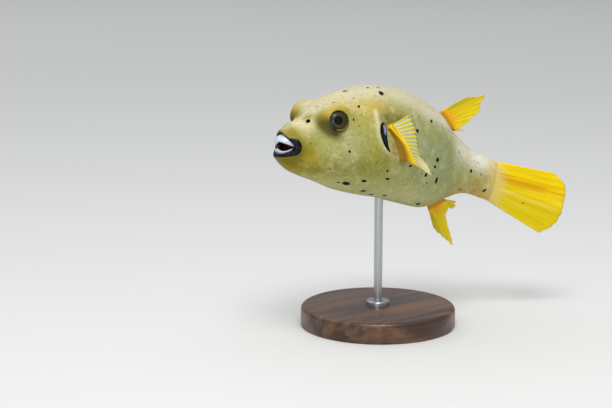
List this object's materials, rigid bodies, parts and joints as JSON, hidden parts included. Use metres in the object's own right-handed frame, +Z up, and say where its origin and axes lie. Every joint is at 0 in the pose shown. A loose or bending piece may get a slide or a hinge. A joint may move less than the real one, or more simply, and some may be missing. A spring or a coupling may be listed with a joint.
{
  "type": "blackspotted puffer fish model on a display stand",
  "caption": "Life-size swimming puffer with a blunt snout, open beak, bulging eyes, fan fins and a bent tail, held by a rod on a round base.",
  "frame": {"origin": "centre of the underside of the stand's round base, with the fish's weight above it", "axes": "+Z up; the fish's head points to -X and its tail to +X; its left flank faces -Y"},
  "size_m": [0.1966, 0.092, 0.1439],
  "materials": {
    "skin": "pale olive-grey and cream skin with black spots, slightly rough, moist sheen",
    "lips": "black skin folds, moist sheen",
    "beak": "blue-white enamel, glossy",
    "eye": "dark green pupil in an olive iris with a gold ring, wet gloss",
    "fin_root": "orange-brown fleshy skin, moist sheen",
    "fins": "bright yellow membrane with rays, satin",
    "stand_wood": "dark walnut, satin lacquer",
    "stand_steel": "brushed"
  },
  "bodies": {
    "root": {"head": "skin", "trunk": "skin", "tail_stalk": "skin", "nostril_left": "skin", "nostril_right": "skin", "upper_lip": "lips", "lower_lip": "lips", "beak_upper_left": "beak", "beak_upper_right": "beak", "beak_lower_left": "beak", "beak_lower_right": "beak", "eye_left": "eye", "eye_right": "eye", "pectoral_root_left": "fin_root", "pectoral_root_right": "fin_root", "dorsal_fin": "fins", "anal_fin": "fins", "caudal_fin": "fins", "pectoral_fin_left": "fins", "pectoral_fin_right": "fins", "stand_base": "stand_wood", "stand_rod": "stand_steel", "stand_collar": "stand_steel"}
  },
  "joints": []
}
